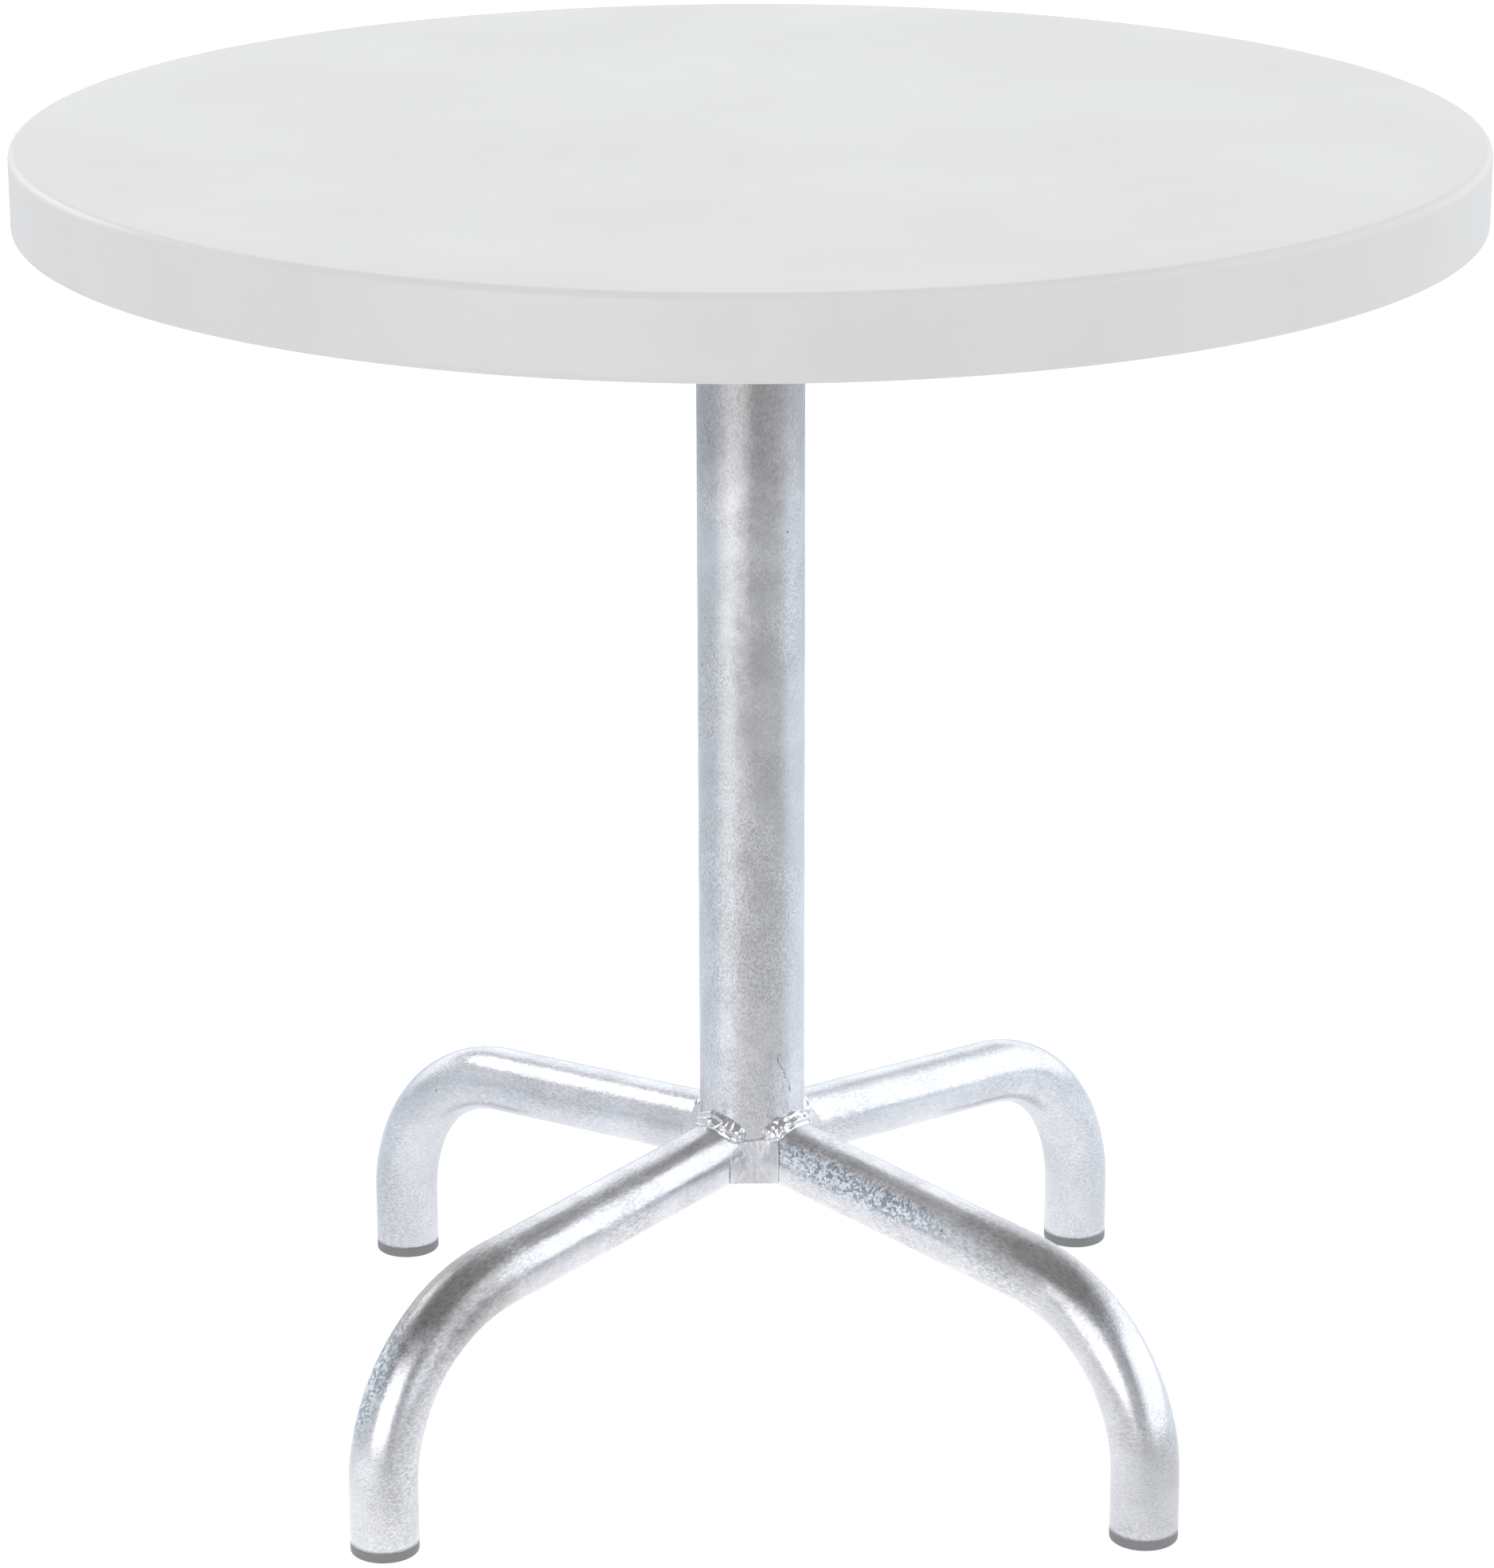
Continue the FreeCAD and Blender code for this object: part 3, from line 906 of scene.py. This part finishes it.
def seam_frame(leg, angle):
    """Seam point, direction over the column and direction over the leg, both away from the seam."""
    here = leg.wall(leg.cope(angle), angle)
    ahead = leg.wall(leg.cope(angle + SEAM_STEP), angle + SEAM_STEP)
    run = (ahead - here).normalized()
    column_normal = Vector((here.x, here.y, 0)).normalized()
    leg_normal = leg.lift * cos(angle) + leg.side * sin(angle)
    over_column = run.cross(column_normal)
    if over_column.dot(leg_normal) < 0:
        over_column.negate()
    over_leg = run.cross(leg_normal)
    if over_leg.dot(column_normal) < 0:
        over_leg.negate()
    return here, over_column.normalized(), over_leg.normalized()


def bead_rings(leg, seed):
    """Rings along a hand-laid bead: two or three ridges side by side, broken up by ripples."""
    settings = bpy.context.scene.bistro_weld
    places = []
    travelled = 0.0
    previous = None
    for k in range(BEAD_SAMPLES + 1):
        angle = BEAD_HALF_ANGLE * (2 * k / BEAD_SAMPLES - 1)
        here, over_column, over_leg = seam_frame(leg, angle)
        if previous is not None:
            travelled += (here - previous).length
        places.append((travelled, here, over_column, over_leg))
        previous = here
    rings = []
    for along, here, over_column, over_leg in places:
        end_share = min(along, travelled - along) / BEAD_END_TAPER
        taper = 0.25 + 0.75 * sin(min(end_share, 1.0) * QUARTER)
        width = settings.bead_width * taper
        width_column = width + lump((along, seed * 0.13, 0), 5 * MM, 1.0 * MM)
        width_leg = 1.15 * width + lump((along, seed * 0.17, 0.3), 6 * MM, 1.3 * MM)
        centre = here - (over_column + over_leg) * TOE_SINK
        outward = (over_column + over_leg).normalized()
        ring = []
        for step in range(BEAD_ACROSS + 1):
            across = step / BEAD_ACROSS
            bulge = 2 * across * (1 - across) * BEAD_BULGE
            reach = over_column * width_column * ((1 - across) ** 2 + bulge)
            reach += over_leg * width_leg * (across ** 2 + bulge)
            crown = sqrt(max(0.0, 4 * across * (1 - across)))
            wander = lump((along, seed * 0.31, 0.5), 8 * MM, 0.45)
            ridge = abs(sin(pi * (RIDGES * across + wander))) ** 0.6 - 0.55
            phase = along / settings.ripple_pitch + 0.5 * (2 * across - 1) ** 2 + 2 * wander
            ripple = abs(sin(pi * phase)) ** 0.5 - 0.6
            patchy = 0.5 + lump((along, across * 8 * MM, seed * 0.7), 5 * MM, 0.7)
            height = (RIDGE_SHARE * ridge * (1 - patchy) + RIPPLE_SHARE * ripple * patchy) * RELIEF
            height += lump((along * 0.7, across * 12 * MM, seed * 0.9), 3.0 * MM, 1.1 * MM)
            ring.append(centre + reach + outward * height * crown * taper)
        ring.append(centre - outward * BEAD_ROOT)
        rings.append(ring)
    return rings


FILL_ACROSS = 40
FILL_ROWS = 34
FILL_HALF_WIDTH = 13.8 * MM
FILL_MIDDLE = 31.6 * MM
FILL_FLANK = 38 * MM
FILL_ROUNDING = 1.2 * MM
FILL_LOWER = 139.2 * MM
FILL_UPPER = 166.0 * MM
FILL_LEAN = 1.5 * MM
LID_DEPTH = 1.6 * MM
LID_HEIGHT = 1.2 * MM
SPATTER_FROM = 153 * MM
BACK_STEPS = 7
BACK_HALF_ANGLE = radians(24)
BACK_DEPTH = 1.0 * MM


def leg_half_width(height, distance):
    """Half of a leg's width at a height, at a level distance from the column's axis."""
    drop = height - (LEG_AXIS_HEIGHT - distance * tan(FALL))
    return sqrt(max(0.0, LEG_RADIUS ** 2 - (drop * cos(FALL)) ** 2))


def fill_rings(azimuth, seed):
    """Rings up a hollow fill, nearly flush with the column, that runs out on two legs' flanks."""
    out = Vector((cos(azimuth), sin(azimuth), 0))
    side = Vector((-out.y, out.x, 0))
    rings = []
    for row in range(FILL_ROWS + 1):
        height = FILL_LOWER + (FILL_UPPER - FILL_LOWER) * row / FILL_ROWS
        valley = leg_half_width(height, FILL_FLANK) / sin(QUARTER / 2) + 0.5 * MM
        lid = LID_DEPTH * max(0.0, 1 - (FILL_UPPER - height) / LID_HEIGHT)
        ring = []
        for step in range(FILL_ACROSS + 1):
            share = 2 * step / FILL_ACROSS - 1
            sideways = share * FILL_HALF_WIDTH
            over = valley + abs(sideways) - FILL_MIDDLE
            reach = FILL_MIDDLE + (over + sqrt(over ** 2 + FILL_ROUNDING ** 2)) / 2
            drip = lump((sideways, seed * 0.31, height * 0.15), 3.2 * MM, 0.45 * MM)
            drip += lump((sideways * 2, height, seed * 0.5), 4 * MM, 0.55 * MM)
            spatter = max(0.0, -share) * min(1.0, max(0.0, height - SPATTER_FROM) / (6 * MM))
            drip += lump((sideways, height, seed * 0.8), 3.5 * MM, 2.6 * MM) * spatter
            place = out * (reach - lid + drip * (1 - share ** 8)) + side * sideways
            ring.append(place + Vector((0, 0, height + FILL_LEAN * share * row / FILL_ROWS)))
        for step in range(BACK_STEPS):
            turn = BACK_HALF_ANGLE * (1 - 2 * step / (BACK_STEPS - 1))
            place = (out * cos(turn) + side * sin(turn)) * (COLUMN_RADIUS - BACK_DEPTH)
            ring.append(place + Vector((0, 0, height)))
        rings.append(ring)
    return rings


# ---- stage

FLOOR_RADIUS = 14.0
FLOOR_DROP = 0.1 * MM
FLOOR_ALBEDO = 0.34
FLOOR_GLOW = 0.95
FLOOR_GLOW_ON_MATT = 0.72
REFLECTED_RADIUS = 3.0
REFLECTED_LEVELS = ((0.03, 1.18), (0.09, 0.99), (0.14, 0.77), (0.30, 0.61), (0.62, 0.47), (0.90, 0.62))
# Place and brightness of the painted sheen of the front-left softbox in the reflected floor
PAINTED_SHEEN_AZIMUTH = -0.96
PAINTED_SHEEN_LEVEL = 0.50
SIDE_LEVEL = 0.34
SIDE_LEAN = 0.12


def floor_reflection(tree):
    """Reflected floor: a painted glow by distance, a painted sheen in front and painted side light."""
    place = object_place(tree)
    axes = parts_of(tree, place)
    distance = vector_maths(tree, "LENGTH", place)
    azimuth = maths(tree, "ARCTAN2", axes["X"], multiply(tree, axes["Y"], -1.0))
    # Painted glow of the floor in reflections: bright near the table, dimmer farther out
    ramp = add_node(tree, "ValToRGB", {0: multiply(tree, distance, 1 / REFLECTED_RADIUS)})
    stops = ramp.color_ramp.elements
    while len(stops) < len(REFLECTED_LEVELS):
        stops.new(1.0)
    for stop, (position, level) in zip(stops, REFLECTED_LEVELS):
        stop.position = position
        stop.color = (level, level, level, 1)
    # Painted sheen of the front-left softbox, seen on the floor only in reflections
    off_painted_sheen = maths(tree, "ABSOLUTE", maths(tree, "SUBTRACT", azimuth, PAINTED_SHEEN_AZIMUTH))
    painted_sheen = map_range(tree, off_painted_sheen, 0.05, 0.60, PAINTED_SHEEN_LEVEL, 0.0)
    painted_sheen = multiply(tree, painted_sheen, map_range(tree, distance, 0.1, 0.5))
    beside = map_range(tree, maths(tree, "ABSOLUTE", azimuth), 0.9, 1.75)
    beside = multiply(tree, beside, map_range(tree, distance, 0.0, 0.7))
    lean = maths(tree, "DIVIDE", axes["X"], add(tree, distance, 0.001))
    side_light = multiply(tree, beside, add(tree, SIDE_LEVEL, multiply(tree, lean, SIDE_LEAN)))
    level = add(tree, add(tree, ramp.outputs["Color"], painted_sheen), side_light)
    cool = mix_colour(tree, beside, (0.975, 0.99, 1.0, 1), (0.87, 0.945, 1.02, 1))
    return add_node(tree, "Emission", {"Color": cool, "Strength": level}).outputs[0]


def mix_shader(tree, factor, first, second):
    return add_node(tree, "MixShader", {0: factor, 1: first, 2: second}).outputs[0]


def build_floor(colour):
    """A wide pale floor, clear from below, that darkens towards the front in reflections."""
    mesh, _ = lathe("studio_floor", [(FLOOR_RADIUS, 0), (1, 0), (0, 0)], 96)
    floor = bpy.data.objects.new("studio_floor", mesh)
    bpy.context.scene.collection.objects.link(floor)
    floor.location.z = -FLOOR_DROP
    material, tree, shader = new_material("Studio floor")
    shader.inputs["Base Color"].default_value = (*(FLOOR_ALBEDO * channel for channel in colour), 1)
    shader.inputs["Roughness"].default_value = 0.9
    shader.inputs["Specular IOR Level"].default_value = 0.0
    shader.inputs["Emission Color"].default_value = (*colour, 1)
    path = add_node(tree, "LightPath").outputs
    glow = map_range(tree, path["Is Diffuse Ray"], 0.0, 1.0, FLOOR_GLOW, FLOOR_GLOW_ON_MATT, "LINEAR")
    tree.links.new(glow, shader.inputs["Emission Strength"])
    above = mix_shader(tree, path["Is Glossy Ray"], shader.outputs[0], floor_reflection(tree))
    below = add_node(tree, "NewGeometry").outputs["Backfacing"]
    clear = add_node(tree, "BsdfTransparent").outputs[0]
    seen = mix_shader(tree, below, above, clear)
    tree.links.new(seen, tree.nodes["Material Output"].inputs["Surface"])
    mesh.materials.append(material)


BACK_LEVEL = 1.35
FRONT_LEVEL = 0.58
GAP_LEVEL = 0.60
RIGHT_LEVEL = 1.65
LEFT_LEVEL = 0.85
OVERHEAD_LEVEL = 0.40
WHITE_BEHIND_ALL = (1.05, 1.05, 1.05, 1)


def world_reflection(tree, axes):
    """What reflections see beyond the floor: bright behind and right, dim in front and overhead."""
    behind = map_range(tree, axes["Y"], -0.35, 0.30, FRONT_LEVEL, BACK_LEVEL)
    aside = map_range(tree, maths(tree, "ABSOLUTE", axes["X"]), 0.15, 0.35)
    gap = multiply(tree, map_range(tree, axes["Z"], 0.26, 0.38), aside)
    behind = multiply(tree, behind, map_range(tree, gap, 0.0, 1.0, 1.0, GAP_LEVEL, "LINEAR"))
    right = map_range(tree, axes["X"], 0.30, 0.72)
    left = map_range(tree, multiply(tree, axes["X"], -1.0), 0.70, 0.92)
    level = blend_value(tree, right, behind, RIGHT_LEVEL)
    level = blend_value(tree, left, level, LEFT_LEVEL)
    level = blend_value(tree, map_range(tree, axes["Z"], 0.70, 0.88), level, OVERHEAD_LEVEL)
    return tinted(tree, (0.93, 0.97, 1.0, 1), level)


def build_surroundings(scene):
    """White for the camera, nearly even for matt surfaces, and a pattern for reflections."""
    world = bpy.data.worlds.new("Studio")
    scene.world = world
    world.use_nodes = True
    tree = world.node_tree
    direction = add_node(tree, "TexCoord").outputs["Generated"]
    axes = parts_of(tree, direction)
    path = add_node(tree, "LightPath").outputs
    sideways = map_range(tree, maths(tree, "ABSOLUTE", axes["X"]), 0.45, 0.9, 0.895, 1.02)
    plain = mix_colour(tree, path["Is Camera Ray"], sideways, WHITE_BEHIND_ALL)
    colour = mix_colour(tree, path["Is Glossy Ray"], plain, world_reflection(tree, axes))
    tree.links.new(colour, tree.nodes["Background"].inputs["Color"])


def add_softbox(name, place, aim, width, height, radiance, reflected_only):
    """A rectangular lamp of the given brightness, for reflections only or for matt surfaces only."""
    lamp = bpy.data.lights.new(name, "AREA")
    lamp.shape = "RECTANGLE"
    lamp.size = width
    lamp.size_y = height
    lamp.energy = radiance * width * height * pi
    softbox = bpy.data.objects.new(name, lamp)
    softbox.location = place
    softbox.rotation_euler = (Vector(aim) - Vector(place)).to_track_quat("-Z", "Y").to_euler()
    softbox.visible_camera = False
    softbox.visible_glossy = reflected_only
    softbox.visible_diffuse = not reflected_only
    bpy.context.scene.collection.objects.link(softbox)


def build_lights():
    hub = (0, 0, 0.15)
    add_softbox("softbox_front_left", (-1.02, -1.80, 0.85), hub, 1.75, 1.6, 1.5, True)
    add_softbox("softbox_back_left", (-1.35, 0.95, 1.40), hub, 0.85, 0.75, 2.0, True)
    add_softbox("overhead_wash", (0.2, 0.5, 4.0), (0, 0, 0.7), 4.0, 4.0, 0.03, False)


FILM_WIDTH_IN_MM = 36.0
LENS_IN_MM = 119.24


def build_camera(scene):
    settings = scene.bistro_stage
    camera_data = bpy.data.cameras.new("camera")
    camera_data.sensor_width = FILM_WIDTH_IN_MM
    camera_data.lens = LENS_IN_MM
    camera_data.clip_end = 100
    camera = bpy.data.objects.new("camera", camera_data)
    turn = settings.camera_turn
    distance = settings.camera_distance
    camera.location = (-distance * sin(turn), -distance * cos(turn), settings.camera_height)
    facing = Euler((QUARTER - settings.camera_pitch, 0, -settings.camera_heading)).to_matrix()
    camera.rotation_euler = (facing @ Matrix.Rotation(-settings.camera_roll, 3, "Z")).to_euler()
    scene.collection.objects.link(camera)
    scene.camera = camera


# ---- panel and registration

OPERATORS = (
    BISTRO_OT_moulded_top,
    BISTRO_OT_core,
    BISTRO_OT_steel_cross,
    BISTRO_OT_screws,
    BISTRO_OT_column,
    BISTRO_OT_legs,
    BISTRO_OT_leg_welds,
    BISTRO_OT_crotch_welds,
    BISTRO_OT_foot_caps,
    BISTRO_OT_stage,
)


class BISTRO_PT_panel(bpy.types.Panel):
    """Lists the table's pieces and its stage"""
    bl_idname = "BISTRO_PT_panel"
    bl_label = "Bistro Table"
    bl_space_type = "VIEW_3D"
    bl_region_type = "UI"
    bl_category = "Bistro Table"

    def draw(self, context):
        for operator in OPERATORS:
            self.layout.operator(operator.bl_idname)


SETTINGS = {
    "bistro_zinc": ZincSettings,
    "bistro_gelcoat": GelcoatSettings,
    "bistro_weld": WeldSettings,
    "bistro_cap": CapSettings,
    "bistro_stage": StageSettings,
}


def register():
    for name, group in SETTINGS.items():
        bpy.utils.register_class(group)
        setattr(bpy.types.Scene, name, PointerProperty(type=group))
    for made in (*OPERATORS, BISTRO_PT_panel):
        bpy.utils.register_class(made)


def unregister():
    for made in (BISTRO_PT_panel, *reversed(OPERATORS)):
        bpy.utils.unregister_class(made)
    for name, group in SETTINGS.items():
        delattr(bpy.types.Scene, name)
        bpy.utils.unregister_class(group)


def main():
    register()
    bpy.ops.bistro.moulded_top()
    bpy.ops.bistro.core()
    bpy.ops.bistro.steel_cross()
    bpy.ops.bistro.screws()
    bpy.ops.bistro.column()
    bpy.ops.bistro.legs()
    bpy.ops.bistro.leg_welds()
    bpy.ops.bistro.crotch_welds()
    bpy.ops.bistro.foot_caps()
    bpy.ops.bistro.stage()


if __name__ == "__main__":
    main()
